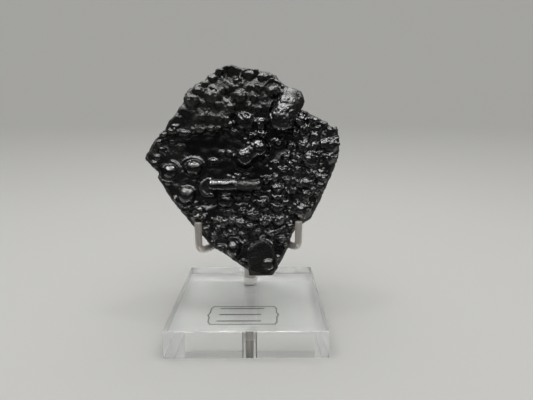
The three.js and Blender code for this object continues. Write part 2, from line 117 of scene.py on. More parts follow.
# Lumps of the crust, steep above and gentle below: (x, y, half width, half height, rise).
LUMPS = [
    (6.5, 15.5, 2, 2.3, 1.6), (20.8, 7.8, 2.2, 2, 1.6), (24.6, 11.3, 1.7, 1.7, 1.3),
    (24.2, 7.8, 1.7, 1.7, 1.3), (27.6, 8.5, 1.5, 1.5, 1.2), (30.3, 8.2, 3.2, 2.4, 1.6),
    (30, 3.8, 2.6, 2, 1.2), (19.1, 4.1, 1.7, 1.4, 1.1), (18.1, 2, 2.7, 1.4, 1.2), (23.5, 3.4, 3.2, 3.1, 2),
    (15, 4.1, 1.7, 1.4, 1), (11.3, 2, 1.2, 1, 0.8), (19.1, -0.3, 2, 1.4, 1.1), (23.5, -1.4, 1.7, 1.4, 1),
    (27.3, -1, 1.5, 1.5, 1), (17.7, -3.8, 1.7, 1.5, 1.2), (19.9, -4.8, 2, 1.9, 1.6),
    (22.7, -4.8, 1.7, 1.7, 1.4), (27.3, -3.1, 2.6, 1.7, 1.5), (26.6, -5.8, 2.2, 1.7, 1.4),
    (17.7, -7.2, 1.5, 1.4, 1.1), (21.5, -9.2, 2, 2.2, 1.8), (25.6, -8.9, 1.4, 2, 1),
    (16.7, -14.3, 1.5, 1.5, 1.4), (16, -9.5, 1, 2.7, 1), (11.9, -13.3, 2.2, 1.7, 1.5),
    (8.2, -3.8, 1.7, 1.7, 1.6), (11.3, -3.1, 1.5, 1.5, 1.3), (12.3, -6.5, 2.4, 1.7, 1.4),
    (11.9, -9.5, 2.2, 1.2, 1.1), (19.8, 16.7, 2, 2, 1.6), (21.1, 14, 1.7, 1.2, 1),
    (24.2, 16.7, 2.2, 1.5, 1.4), (28, 15.3, 1.5, 1.5, 1.2), (30.3, 13, 2.4, 2, 0.8),
    (18.4, 12.3, 1.4, 1.4, 0.9), (16.4, 8.2, 1.4, 1.4, 0.8), (14.3, -0.3, 2, 1.4, 1),
    (15.3, -3.8, 1.4, 1.4, 0.9), (25.6, 1, 1.7, 1.7, 1), (22.8, 14.3, 1.4, 1.4, 1),
    (25.9, 13.6, 1.5, 1.4, 1.1), (31.7, 9.9, 1.5, 1.7, 1.2), (23.9, -7.2, 1.7, 1.4, 1.1),
    (14.7, -11.3, 1.4, 1.4, 1), (5.1, -8.2, 1.7, 1.2, 1.1), (6.8, -11.3, 2.7, 1.9, 1.8),
    (1.7, -9.9, 1.4, 1.2, 0.9), (-14.7, -14, 2, 1.4, 1.6), (-15, -16.4, 2.9, 1.7, 1.8),
    (-5.1, -15, 2, 1.4, 1.2), (0.3, -14.7, 1.5, 1.5, 1.4), (3.8, -16, 2.7, 1.7, 1.8),
    (-6.1, -18.4, 1.9, 1.9, 1.6), (-3.4, -17.4, 1.9, 1.7, 1.6), (-0.5, -18.4, 1.9, 1.7, 1.5),
    (7.8, -17.7, 2.2, 2, 1.8), (12.6, -17.4, 2.7, 2, 1.9), (2.7, -19.4, 2.2, 1.5, 1.4),
    (-9.2, -22.8, 1.5, 1.5, 1.2), (-10.2, -24.9, 1.4, 1.4, 1), (-7.2, -26.6, 1.7, 1.5, 1.4),
    (1, -24.9, 1.1, 1.2, 0.9), (-3.1, -21.1, 1.9, 1.4, 1.2), (-8.2, -20.1, 1.4, 1.2, 1),
    (9.5, -21.8, 1.7, 1.2, 1.1), (15.7, -22.5, 2, 1.9, 1.5), (13.3, -23.9, 1.4, 1.4, 1),
    (16.7, -19.4, 1.7, 1.4, 1.2), (-8.9, -17.4, 1.7, 1, 0.9), (-12.3, -20.5, 1.7, 1, 0.9),
    (4.8, -21.5, 1.7, 1.2, 0.9), (0.3, -22.2, 1.5, 1.2, 0.9), (11.6, -21.1, 1.5, 1.2, 0.9),
    (15, -26.3, 1.5, 1.5, 1.1), (14.3, -29.3, 1.4, 1.5, 1), (-5.5, -22.5, 1.4, 1, 0.8),
    (-14.3, -19.1, 1.4, 1.4, 0.9), (-5.1, -29.7, 1.7, 1.2, 1), (-2, -32.1, 1.4, 1, 0.8),
    (-23.9, 9.5, 1.4, 1, 0.9), (-27.3, 6.8, 1.5, 1.4, 1.1), (-28.6, 4.1, 1.5, 1.1, 1),
    (-29.7, 2, 1.4, 1.2, 0.9), (-26.1, 5.8, 1, 0.9, 0.7), (-25.2, -4.4, 1.4, 0.9, 0.6),
    (-22.8, -9.7, 0.9, 0.9, 0.6), (-19.1, -13.6, 1.9, 1, 1), (-28, 9.2, 1.4, 1, 0.8),
    (-21.1, 7.8, 1.7, 1, 0.5), (-26.6, 11.9, 1.5, 1, 1), (-6.8, 5.8, 0.9, 0.7, 0.5),
    (-4.4, 5.8, 0.9, 0.7, 0.5), (-21.8, -12.3, 1.4, 1, 0.8), (-1, 24.9, 2.7, 2.2, 2.2),
    (-10.2, 24.8, 2.9, 2.4, 2.1), (-8, 22.3, 1.4, 1.1, 1.2), (-11.6, 26.9, 1, 1, 0.8),
    (-17.2, 23.5, 2.6, 2.2, 2.2), (-15.3, 26.9, 1.7, 1.5, 1.3), (-13.6, 18.1, 1.7, 1.4, 1.3),
    (-10.1, 18.1, 1.1, 1.3, 1.1), (-7.7, 17.7, 1.4, 1.4, 1.3), (-14.3, 13.6, 2, 1.4, 1.5),
    (-10.5, 13.9, 1.6, 1.2, 1.2), (-7.8, 14.2, 1.3, 1, 1.1), (-19.8, 12.3, 2.4, 1.2, 1.2),
    (-23.5, 13, 1.7, 1, 1), (-7.8, 33.4, 1.4, 1.2, 1), (-9.9, 31, 1.4, 1.2, 1), (-12.3, 29.3, 1.4, 1, 0.9),
    (-4.8, 35.3, 2.4, 1.2, 1.2), (6.8, 11.9, 1.9, 1.4, 1.1), (5.5, 20.5, 1.4, 1.4, 0.8),
    (5.5, 28, 1.7, 1.4, 0.9), (6.8, 31.4, 1.5, 1.2, 0.9), (9.5, 31.4, 1.7, 1.2, 0.9),
    (4.1, 24.6, 1.4, 1.4, 0.9), (2.4, 21.5, 1.4, 1.4, 0.7), (12.3, 9.5, 1.9, 1.5, 1.4),
    (3.1, 11.3, 1.5, 1.4, 1), (9.5, 7.5, 1.2, 1.2, 0.8),
]


def bow(x, y, wide, tall, start, end, steps=14):
    """Points of an arc round (x, y), from one angle to another in degrees."""
    angles = [math.radians(start + (end - start) * i / steps) for i in range(steps + 1)]
    return [(x + wide * math.cos(a), y + tall * math.sin(a)) for a in angles]


# Thin raised ridges: collars round knobs and fingers, growth lines. Each: points, half width, height.
RIDGES = [
    (bow(-24.9, -0.5, 3.7, 3.6, 18, 75), 0.5, 0.6), (bow(-17, 0.4, 4.5, 3.9, 20, 150), 0.3, 0.25),
    (bow(-2.9, -26.9, 3.3, 3.9, 10, 108), 0.5, 0.8), (bow(-19.1, -8.7, 3.9, 3.9, 200, 320), 0.5, 0.5),
    (bow(2.7, 31.9, 3.5, 2.6, 50, 200), 0.5, 0.8), (bow(5.3, 7.2, 4.5, 4.1, -60, 62), 0.45, 1.1),
    (bow(0.9, 4.2, 3.9, 3.9, 170, 300), 0.45, 0.9), (bow(14.4, 19, 5.4, 6.6, 140, 205), 0.6, 1.2),
    (bow(-10.4, 24.4, 3, 3.4, 30, 170), 0.5, 0.5), (bow(10.7, 27.5, 3.4, 3, 20, 170), 0.5, 0.7),
]

# Smooth glossy places with no small lumps: (x, y, half width, half height).
SMOOTH = [
    (-11.6, 9, 10, 4.4), (-8, 2, 5, 2.4), (12.3, 8, 4.6, 6), (1, 0, 8.6, 2.2), (-11.6, -11.2, 4, 3),
    (-18.1, 18.8, 3.2, 2.6), (-10.9, 21.8, 5, 1.4), (20.5, 12.5, 3.2, 1.6), (-20.8, 15.3, 2.8, 1.8),
    (-1, 8.4, 3, 1.6),
]

# How pebbly the crust is: (x, y, half width, half height, height of the pebbles).
PEBBLY = [
    (24, 3, 15, 18, 0.36), (2, -17, 18, 9, 0.36), (8, 24, 10, 10, 0.22), (-22, -2, 13, 15, 0.12),
    (-12, -9, 9, 6, 0.12), (-13, 22, 10, 11, 0.22), (14.4, 19.6, 5.5, 6, 0.3), (13, 12.4, 4.4, 1.8, 0.03),
    (-4, -5.3, 9, 2.6, 0), (3, 6, 5, 4.5, 0.35), (-3, -27, 3.4, 3.6, 0.16), (-17, 0.4, 4, 3.4, 0.16),
    (-19, -8.7, 3.6, 3.6, 0.14), (-24.9, -0.5, 3.2, 3.2, 0.1), (20.5, -13.6, 3.8, 3.4, 0.2),
]

# Where the pebbles also cover what faces forward: (x, y, half width, half height, share).
NETTED = [(14.4, 19, 5.5, 7.5, 1), (3, 6, 5, 4.5, 0.9)]

# How dull the surface is: (x, y, half width, half height, dullness from 0 to 1).
DULL = [
    (-14, 22, 13, 13, 0.45), (2, 27, 13, 10, 0.35), (-25, 8, 8, 8, 0.25), (1.5, -5.3, 4.5, 2.4, 0.6),
    (6, -30, 6, 7, 0.28), (-23, -6, 8, 8, 0.15), (-11, 9, 10.5, 4.6, 0), (-20.5, 17.3, 4.6, 3, 0.15),
    (14.6, 20.5, 5.5, 7, 0.3), (17.6, 22.6, 3.6, 4.2, 0.5), (-12.4, -6.2, 2.2, 3.4, 0.5),
    (-19.1, -8.7, 3.4, 3.4, 0.25), (23.6, -16.8, 2.8, 2.6, 0.75),
]

# How crowded the crust is with small lumps, 0 to 1, and how far they rise.
CROWDED = [
    (-24, 2, 13, 13, 0.15), (-12, -8, 12, 9, 0.1), (-6, 4, 12, 7, 0.15), (-15, 20, 9, 9, 0.2),
    (-10, 32, 6, 4, 0.4), (24, 0, 13, 24, 0.6), (3, -18, 16, 9, 0.6), (6, 20, 5, 8, 0.5),
    (10, 2, 6, 6, 0.3),
]

PLATE = [(2.4, -36), (1.8, -26.6), (7.4, -22.9), (10.4, -24.6), (11.1, -27), (12.2, -33.4), (10.2, -36)]
PLATE_RISE = 2.4
# Raised rims and small ridges of the plate: points, half width, height.
PLATE_RIMS = [
    ([(2.3, -34.6), (2.1, -26.9)], 0.4, 1.2), ([(2.1, -26.7), (7.4, -23.2)], 0.4, 0.9),
    ([(7.4, -23.2), (10.2, -24.9)], 0.7, 0.6), ([(10.2, -24.9), (10.9, -27.2), (11.9, -33)], 0.4, 1),
    ([(2.8, -28.2), (5.4, -28)], 0.25, 0.1), ([(2.8, -29.9), (5.7, -29.7)], 0.25, 0.1),
    ([(2.9, -31.2), (5, -31.1)], 0.25, 0.1), ([(4.4, -26), (5, -27)], 0.3, 0.15),
]


# ---- small helpers ----
def soft_step(low, high, value):
    """0 below low, 1 above high, smooth between."""
    t = np.clip((value - low) / (high - low), 0.0, 1.0)
    return t * t * (3 - 2 * t)


def near_line(stops, x, y):
    """Distance in the front plane from each point to a run of stops."""
    near = np.full(np.shape(x), 1e9)
    for (x1, y1), (x2, y2) in zip(stops, stops[1:]):
        dx, dy = x2 - x1, y2 - y1
        t = np.clip(((x - x1) * dx + (y - y1) * dy) / (dx * dx + dy * dy), 0, 1)
        near = np.minimum(near, np.hypot(x - x1 - t * dx, y - y1 - t * dy))
    return near


def inside_distance(ring, x, y):
    """Distance to a ring's edge, positive inside it."""
    closed = ring + ring[:1]
    inside = np.zeros(np.shape(x), bool)
    for (x1, y1), (x2, y2) in zip(closed, closed[1:]):
        if y1 != y2:
            inside ^= ((y1 > y) != (y2 > y)) & (x < (x2 - x1) * (y - y1) / (y2 - y1) + x1)
    near = near_line(closed, x, y)
    return np.where(inside, near, -near)


def mound(spot, x, y):
    """1 in the middle of an oval spot, falling smoothly to 0 at its edge."""
    cx, cy, wide, tall = spot[:4]
    off = ((x - cx) / wide) ** 2 + ((y - cy) / tall) ** 2
    return np.clip(1 - off, 0, 1) ** 1.3


def wavering(x, y):
    """The place shifted a little, so that no edge on the front runs straight."""
    return (x + 0.7 * np.sin(0.9 * y + 0.5 * x) + 0.3 * np.sin(2.4 * y - 1.3 * x),
            y + 0.7 * np.sin(0.8 * x - 0.3 * y + 1.0) + 0.3 * np.sin(2.2 * x + 0.9 * y))


def front_height(x, y):
    """Height of the front before any knob stands on it."""
    x, y = wavering(np.asarray(x, float), np.asarray(y, float))
    height = sum(spot[4] * mound(spot, x, y) for spot in SWELLS)
    hollow = sum(spot[4] * mound(spot, x, y) for spot in HOLLOWS)
    hollow = hollow + sum(spot[4] * (y - spot[1] + 0.6 * spot[3]) * mound(spot, x, y) for spot in FACETS)
    for depth, ring in SUNKEN:
        hollow = hollow - depth * soft_step(-0.6, 4.0, inside_distance(ring, x, y))
    shelf = soft_step(-0.35, 0.45, inside_distance(SHELF, x, y))
    lip = 1 - 0.25 * soft_step(6, 0, y - 12.5) - 0.1 * soft_step(6, 16, y - 12.5)
    return height * (1 - shelf) + hollow + SHELF_RISE * lip * shelf


def back_height(x, y):
    """Height of the broken back: the deepest plane, cut by the flat breaks."""
    height = np.full(np.shape(x), BACK)
    for bx, by, bz, slope in BREAKS:
        side = np.array([bx, by]) - HEART
        side = side / np.hypot(*side)
        along = (x - bx) * side[0] + (y - by) * side[1]
        height = np.maximum(height, bz + along / math.tan(math.radians(slope)))
    return height


def smoothness(x, y):
    """1 in the smooth places, 0 on the rough crust."""
    return np.clip(sum(mound(spot, x, y) for spot in SMOOTH) * 1.6, 0, 1)


def value_at(spots, x, y, base):
    """A base value, replaced in oval spots: (x, y, half width, half height, value)."""
    value = np.full(np.shape(x), float(base))
    for spot in spots:
        share = np.clip(mound(spot, x, y) * 2.5, 0, 1)
        value = value * (1 - share) + spot[4] * share
    return value


def as_seen(x, y, z):
    """Slides a point listed on the datum plane to where the camera sees it at height z."""
    scale = 1 - z / VIEW_DEPTH
    return VIEW_CENTRE[0] + (x - VIEW_CENTRE[0]) * scale, VIEW_CENTRE[1] + (y - VIEW_CENTRE[1]) * scale


# ---- clay: closed shapes heaped together, then skinned as one ----
def arrays_of(shape):
    """The points and faces of a bmesh, which is freed."""
    shape.verts.index_update()
    points = np.array([v.co[:] for v in shape.verts])
    faces = np.array([[v.index for v in f.verts] for f in shape.faces])
    shape.free()
    return points, faces


def prism(corners, low, high):
    """An upright form on the given corners, as a bmesh."""
    shape = bmesh.new()
    face = shape.faces.new([shape.verts.new((x, y, low)) for x, y in corners])
    grown = bmesh.ops.extrude_face_region(shape, geom=[face])
    for v in (item for item in grown["geom"] if isinstance(item, bmesh.types.BMVert)):
        v.co.z = high
    return shape


class Clay:
    """Points and faces of every closed shape added so far."""

    def __init__(self):
        self.points, self.faces, self.count, self.ball = [], [], 0, {}
        for level in (2, 3, 4):
            shape = bmesh.new()
            bmesh.ops.create_icosphere(shape, subdivisions=level, radius=1)
            self.ball[level] = arrays_of(shape)

    def add(self, points, faces):
        self.points.append(points)
        self.faces.append(np.asarray(faces) + self.count)
        self.count += len(points)

    def lump(self, x, y, z, wide, tall, deep, turn=0.0, steep=0.0):
        """An oval ball; a steep one has its crest moved up towards its upper edge."""
        level = 4 if max(wide, tall) > 2.2 else 3 if max(wide, tall) > 0.9 else 2
        points, faces = self.ball[level]
        high = points[:, 1] * np.where(points[:, 1] > 0, 1 - steep, 1 + steep) + steep
        points = np.column_stack([points[:, 0], high, points[:, 2]]) * (wide, tall, deep)
        if turn:
            c, s = math.cos(turn), math.sin(turn)
            points = points @ np.array([[c, s, 0], [-s, c, 0], [0, 0, 1]])
        self.add(points + (x, y, z), faces)

    def ball_seen(self, x, y, z, wide, tall, deep):
        """A lump at height z that the camera sees at a place listed on the datum plane."""
        self.lump(*as_seen(x, y, z), z, wide, tall, deep)

    def knob(self, x, y, wide, tall, rise, turn=0.0, steep=0.0):
        """A lump that stands proud of the front by its rise."""
        ground = float(front_height(x, y))
        x, y = as_seen(x, y, ground + rise / 2)
        deep = max(rise, (wide + tall) / 2)
        self.lump(x, y, ground + rise - deep, wide, tall, deep, turn, steep)

    def crest(self, x, y, wide, tall, rise):
        """Small grapes over the upper part of a steep knob."""
        ground = float(front_height(x, y))
        for _ in range(round(3.2 * wide * tall)):
            u, v = rng.uniform(-0.9, 0.9), rng.uniform(0.0, 0.98)
            off = u * u + ((v - 0.35) / (0.65 if v > 0.35 else 1.35)) ** 2
            if off > 1:
                continue
            size = rng.uniform(0.4, 0.62)
            z = ground + rise * math.sqrt(1 - off) - 0.3 * size
            self.ball_seen(x + u * wide, y + v * tall, z, size * 1.1, size, size)

    def chain(self, stops, radius, spacing):
        """Overlapping balls along the stops, as a round rod."""
        for start, end in zip(stops, stops[1:]):
            start, end = np.array(start, float), np.array(end, float)
            steps = max(1, round(float(np.linalg.norm(end - start)) / spacing))
            for i in range(steps + 1):
                x, y, z = start + (end - start) * i / steps
                rng.uniform(-1, 1)  # not used: it keeps the later draws in their order
                self.ball_seen(x, y, z, radius, radius, radius)

    def mesh(self, name):
        """Everything heaped up, drawn slightly out of true as grown forms are."""
        mesh = bpy.data.meshes.new(name)
        points, faces = np.concatenate(self.points), np.concatenate(self.faces)
        points += WARP * np.array([noise.noise_vector(Vector(p) * WARP_SCALE)[:] for p in points.tolist()])
        mesh.from_pydata(points.tolist(), [], faces.tolist())
        return mesh


def refined(ring, spacing):
    """The ring with points about every spacing along its edges."""
    out = []
    for (x1, y1), (x2, y2) in zip(ring, ring[1:] + ring[:1]):
        steps = max(1, round(math.hypot(x2 - x1, y2 - y1) / spacing))
        out += [(x1 + (x2 - x1) * i / steps, y1 + (y2 - y1) * i / steps) for i in range(steps)]
    return np.array(out)


def add_slab(clay):
    """The slab: a front and a back skin of rings drawn towards its heart, joined at the rim."""
    rim = refined(OUTLINE, 0.5)
    sides, rings, shallowest = len(rim), 70, -3.0
    points = [(*HEART, float(front_height(*HEART)))]
    for ring in range(rings, 0, -1):
        spread = HEART + (rim - HEART) * (1 - (ring - 1) / rings)
        edge = np.linalg.norm(rim - spread, axis=1)
        fall = 0.9 * (1 - np.sqrt(np.clip(1 - (1 - edge).clip(0) ** 2, 0, 1)))
        z = front_height(*spread.T) - fall
        points += np.column_stack([spread, z]).tolist()
    for ring in range(1, rings + 1):
        spread = HEART + (rim - HEART) * (1 - (ring - 1) / rings)
        z = np.minimum(back_height(*spread.T), shallowest)
        points += np.column_stack([spread, z]).tolist()
    points.append((*HEART, float(back_height(*HEART))))
    faces = []
    loops = 2 * rings
    for loop in range(loops - 1):
        for i in range(sides):
            a, b = 1 + loop * sides + i, 1 + loop * sides + (i + 1) % sides
            c, d = a + sides, b + sides
            faces += [(a, c, b), (b, c, d)]
    last = 1 + loops * sides
    for i in range(sides):
        j = (i + 1) % sides
        faces += [(0, 1 + i, 1 + j), (last, last - sides + j, last - sides + i)]
    points, faces = np.array(points), np.array(faces)
    a, b, c = (points[faces[:, k]] for k in range(3))
    if np.einsum("ij,ij->i", a, np.cross(b, c)).sum() < 0:
        faces = faces[:, ::-1]
    clay.add(points, faces)


def add_fingers(clay):
    """The three stalactitic fingers that lie on the front, with their bulbs."""
    # Upper right: stubby, leaning down and out, its blunt end towards the viewer, a lump at its root.
    clay.chain([(15.6, 21.6, 2.8), (14.6, 19.2, 3.4), (13.6, 17.4, 3.8)], 4.2, 1.0)
    clay.ball_seen(13.6, 16.6, 4.0, 4.1, 4.0, 3.7)
    clay.ball_seen(16.6, 25.0, 0.8, 3.4, 2.9, 3.2)
    clay.ball_seen(18.6, 23.6, 0.4, 2.6, 3.4, 2.8)
    # Middle: two fused bulbs.
    clay.chain([(1.2, 4.8, 2.8), (5.0, 7.2, 2.8)], 2.6, 1.0)
    clay.ball_seen(0.9, 4.4, 2.9, 3.0, 2.9, 2.8)
    clay.ball_seen(5.4, 7.4, 3.0, 3.2, 3.0, 2.8)
    # Left to right: a rod in a hook-shaped collar, its far half duller and thinner.
    clay.chain([(-9.8, ROD_Y, 2.7), (-2.6, ROD_Y, 2.7)], 2.0, 0.6)
    clay.chain([(-1.6, ROD_Y, 2.0), (5.1, -5.3, 1.6)], 1.8, 0.6)
    for x, y in bow(-11.3, -6.0, 2.6, 2.6, 80, 290, 19):
        clay.ball_seen(x, y, float(front_height(x, y)) + 2.4, 0.85, 0.85, 0.85)
    clay.ball_seen(-10.5, -8.5, 3.0, 1.1, 1.0, 1.0)


def add_plate(clay):
    """The crystal plate at the foot, with a knob and a grain on it."""
    shape = prism([as_seen(x, y, PLATE_RISE) for x, y in PLATE], -2, PLATE_RISE)
    bmesh.ops.recalc_face_normals(shape, faces=shape.faces)
    bmesh.ops.triangulate(shape, faces=shape.faces)
    clay.add(*arrays_of(shape))
    clay.ball_seen(8.9, -32.1, 2.4, 1.9, 1.8, 1.3)
    clay.ball_seen(5.8, -25.2, 2.0, 0.6, 0.45, 0.4)


def add_crust(clay):
    """Knobs and lumps, and seeded small lumps in the room that they leave."""
    taken = []
    for x, y, wide, tall, rise in KNOBS:
        clay.knob(x, y, wide, tall, rise)
        if min(wide, tall) > 3.3:
            clay.crest(x, y, wide, tall, rise)
        taken.append((x, y, 1.1 * min(wide, tall)))
    for x, y, wide, tall, rise in LUMPS:
        add_lump(clay, taken, x, y, wide, tall, rise)
    tries = rng.uniform((-34, -37), (34, 37), (5000, 2))
    smooth = smoothness(*tries.T)
    on_plate = inside_distance(PLATE, *tries.T) > -0.4
    crowd = value_at(CROWDED, *tries.T, 0.6)
    for (x, y), flat, plate, busy in zip(tries, smooth, on_plate, crowd):
        size = rng.uniform(0.5, 0.8 + 0.6 * busy)
        if flat > 0.5 or plate or rng.random() > 0.5 * busy * busy:
            continue
        if any(math.hypot(x - tx, y - ty) < tr + 0.7 * size for tx, ty, tr in taken):
            continue
        add_lump(clay, taken, x, y, size * 1.2, size, (0.3 + 0.25 * busy) * (1 - flat) * size)


def add_lump(clay, taken, x, y, wide, tall, rise):
    """One lump of the crust, kept within the stone's outline."""
    room = float(inside_distance(OUTLINE, np.array([x]), np.array([y]))[0])
    fit = min(1.0, max(room, 0.0) / (0.85 * max(wide, tall)))
    if fit * wide < 0.4:
        return
    clay.knob(x, y, wide * fit, tall * fit, 1.4 * rise * fit, rng.uniform(-0.25, 0.25), 0.35)
    if wide * fit > 1.2 and value_at(PEBBLY, x, y, 0.18) > 0.15:
        clay.crest(x, y, wide * fit, tall * fit, 1.4 * rise * fit)
    taken.append((x, y, 0.8 * min(wide, tall)))


def applied(obj):
    """The object's mesh with its modifiers applied."""
    depsgraph = bpy.context.evaluated_depsgraph_get()
    mesh = bpy.data.meshes.new_from_object(obj.evaluated_get(depsgraph))
    bpy.data.objects.remove(obj)
    return mesh


def linked(name, data):
    """A new object in the scene for a mesh, a lamp or a camera."""
    obj = bpy.data.objects.new(name, data)
    bpy.context.scene.collection.objects.link(obj)
    return obj


def in_fixed_order(mesh):
    """A mesh of quads with its points and faces sorted, so that no machine's own order shows in it."""
    points = np.round(rows_of(mesh.vertices, "co"), 4)
    order = np.lexsort(points.T)
    rank = np.empty(len(order), int)
    rank[order] = np.arange(len(order))
    corners = np.empty(len(mesh.loops), int)
    mesh.loops.foreach_get("vertex_index", corners)
    corners = rank[corners].reshape(-1, 4)
    first = corners.argmin(axis=1)
    corners = np.take_along_axis(corners, (first[:, None] + np.arange(4)) % 4, axis=1)
    corners = corners[np.lexsort(corners.T[::-1])]
    fixed = bpy.data.meshes.new("skin")
    fixed.from_pydata(points[order].tolist(), [], corners.tolist())
    return fixed


def skinned(mesh, voxel, rounds):
    """One closed skin round everything in the mesh, its creases softened."""
    obj = linked("clay", mesh)
    skin = obj.modifiers.new("skin", "REMESH")
    skin.mode = "VOXEL"
    skin.voxel_size = voxel
    skin.adaptivity = 0
    obj = linked("skin", in_fixed_order(applied(obj)))
    soften = obj.modifiers.new("soften", "SMOOTH")
    soften.factor = 0.5
    soften.iterations = rounds
    return applied(obj)


def rows_of(items, what):
    """The places of a mesh's points, or their normals, one to a row."""
    values = np.empty(len(items) * 3, np.float32)
    items.foreach_get(what, values)
    return values.reshape(-1, 3).astype(float)


def noise_values(points, scale, seed):
    """Smooth noise about 0 at the points, one feature every 1/scale."""
    shift = Vector((seed * 17.3, seed * 5.1, seed * 9.7))
    return np.array([noise.noise(Vector(p) * scale + shift) for p in points.tolist()])


def pebbles(points, spacing, radius, chosen):
    """Bubbly cells: 1 at each seed's top, 0 in the valleys, seeds only on the chosen points."""
    candidates = rng.permutation(np.flatnonzero(chosen))
    cell, kept = {}, []
    for index in candidates.tolist():
        key = tuple((points[index] // spacing).astype(int))
        if key in cell:
            continue
        cell[key] = index
        kept.append(index)
    tree = kdtree.KDTree(len(kept))
    for index in kept:
        tree.insert(Vector(points[index]), index)
    tree.balance()
    reach = radius * rng.uniform(0.7, 1.25, len(points))
    out = np.zeros(len(points))
    for i, p in enumerate(points.tolist()):
        _, seed, distance = tree.find(Vector(p))
        out[i] = math.sqrt(max(0.0, 1 - (distance / reach[seed]) ** 2))
    return out


def ridge_push(x, y):
    """How far the thin ridges stand out."""
    push = np.zeros(x.shape)
    for stops, half, height in RIDGES + PLATE_RIMS:
        off = near_line([as_seen(px, py, 1.0) for px, py in stops], x, y) / half
        push = np.maximum(push, height * np.sqrt(np.clip(1 - off * off, 0, 1)))
    return push


def smooth_share(x, y):
    """1 where nothing small stands on the surface: the smooth places and the plate."""
    return np.maximum(smoothness(x, y), soft_step(-0.6, 0.2, inside_distance(PLATE, x, y)) * 0.8)


def edge_share(x, y):
    """1 at the rim of the front, 0 from 1.6 mm inside it."""
    return soft_step(1.6, 0.5, inside_distance(OUTLINE, x, y))


def pebble_height(x, y, up):
    """Height of the pebbles at a point whose normal leans up by the given amount."""
    upward = np.maximum(soft_step(0.05, 0.5, up), value_at(NETTED, x, y, 0.35))
    upward = np.maximum(upward, edge_share(x, y))
    return (1 - smooth_share(x, y)) * upward * value_at(PEBBLY, x, y, 0.18)


def weathered(mesh):
    """Pebbly crust on the front, rough breaks on the sides and back."""
    points, normals = rows_of(mesh.vertices, "co"), rows_of(mesh.vertex_normals, "vector")
    x, y, z = points.T
    front = soft_step(*FRONT_EDGE, z)
    smooth = smooth_share(x, y)
    bubbly = front * pebble_height(x, y, normals[:, 1])
    netted = value_at(NETTED, x, y, 0.0)
    fine = pebbles(points, 1.15, 0.62, front > 0.3)
    coarse = pebbles(points, 1.5, 0.85, netted > 0.1)
    fine = fine + (coarse - fine) * netted
    grain = noise_values(points, 2.6, 2)
    uneven = noise_values(points, 1.0, 5)
    broken = noise_values(points, 0.35, 3) * 0.6 + np.abs(noise_values(points, 0.9, 4)) * 0.5
    push = bubbly * (fine - 0.6) + (0.04 * grain + 0.03 * uneven) * (1 - 0.8 * smooth)
    # The rod is ringed, more closely on its thin half.
    rod = soft_step(2.4, 2.0, np.abs(y - ROD_Y)) * soft_step(0.8, 1.4, z)
    rod = rod * soft_step(-11, -10, x) * soft_step(5, 4, x)
    push += rod * 0.09 * np.cos(2 * math.pi * x / np.where(x < -2, 0.95, 0.75))
    push += (1 - front) * (0.9 * broken - 0.3 + 0.12 * grain)
    points += normals * push[:, None]
    points[:, 2] += ridge_push(x, y) * front
    mesh.vertices.foreach_set("co", points.astype(np.float32).ravel())


def thinned(mesh, most):
    """The mesh with no more than the given number of triangles, kept where the surface bends."""
    obj = linked("skin", mesh)
    thin = obj.modifiers.new("thin", "DECIMATE")
    thin.ratio = min(1.0, most / (2 * len(mesh.polygons)))
    return applied(obj)


def add_values(mesh):
    """How rough and how pebbly each point of the stone is, for its material."""
    points = rows_of(mesh.vertices, "co")
    x, y, z = points.T
    front = soft_step(*FRONT_EDGE, z)
    up = rows_of(mesh.vertex_normals, "vector")[:, 1]
    broad = noise_values(points, 0.5, 1)
    pebbly = 3 * pebble_height(x, y, up) * front
    frosty = 0.5 * np.minimum(pebbly, 0.7) * (1 - value_at(NETTED, x, y, 0.0))
    rough = (1 - front) * 0.9 + front * (value_at(DULL, x, y, 0.06) + 0.12 * broad + 0.6 * frosty)
    rough = np.maximum(rough, 0.8 * edge_share(x, y))
    for name, values in (("rough", rough), ("pebbly", pebbly)):
        layer = mesh.attributes.new(name, "FLOAT", "POINT")
        layer.data.foreach_set("value", values.astype(np.float32))


def seat(mesh):
    """The stone kept clear of the arms that hold it, and within its own box; in metres from here on."""
    points = rows_of(mesh.vertices, "co")
    room = WIRE + SEAT_GAP
    for stops in [hook_stops(hook) for hook in HOOKS.values()] + [back_stops()]:
        for start, end in zip(stops, stops[1:]):
            start, along = np.array(start), np.array(end - start)
            t = np.clip((points - start) @ along / (along @ along), 0, 1)
            off = points - start - t[:, None] * along
            far = np.linalg.norm(off, axis=1)
            near = far < room
            points[near] += off[near] * (room / far[near] - 1)[:, None]
    low, high = (np.array(corner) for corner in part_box("hematite"))
    points = np.clip(points * MM, low, high)
    mesh.vertices.foreach_set("co", points.astype(np.float32).ravel())


def build_stone():
    """The stone as one mesh, with its small forms and its material's values."""
    clay = Clay()
    add_slab(clay)
    add_fingers(clay)
    add_plate(clay)
    add_crust(clay)
    mesh = skinned(clay.mesh("clay"), VOXEL, 2)
    weathered(mesh)
    mesh = thinned(mesh, MOST_TRIANGLES)
    add_values(mesh)
    mesh.transform(STONE_TO_ROW)
    seat(mesh)
    mesh.polygons.foreach_set("use_smooth", [True] * len(mesh.polygons))
    place(mesh, "stone_hematite", "hematite", stone_material())


def place(mesh, name, node, material):
    """Puts a mesh in the scene in place of a CAD node."""
    mesh.name = name
    mesh.materials.clear()
    mesh.materials.append(material)
    obj = linked(name, mesh)
    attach(obj, "root")
    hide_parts(node)
    return obj


# ---- materials ----
def new_material(name):
    material = bpy.data.materials.new(name)
    material.use_nodes = True
    tree = material.node_tree
    return material, tree, tree.nodes["Principled BSDF"]


def attribute(tree, name):
    """The values that the mesh carries under the name."""
    node = tree.nodes.new("ShaderNodeAttribute")
    node.attribute_name = name
    return node.outputs["Fac"]


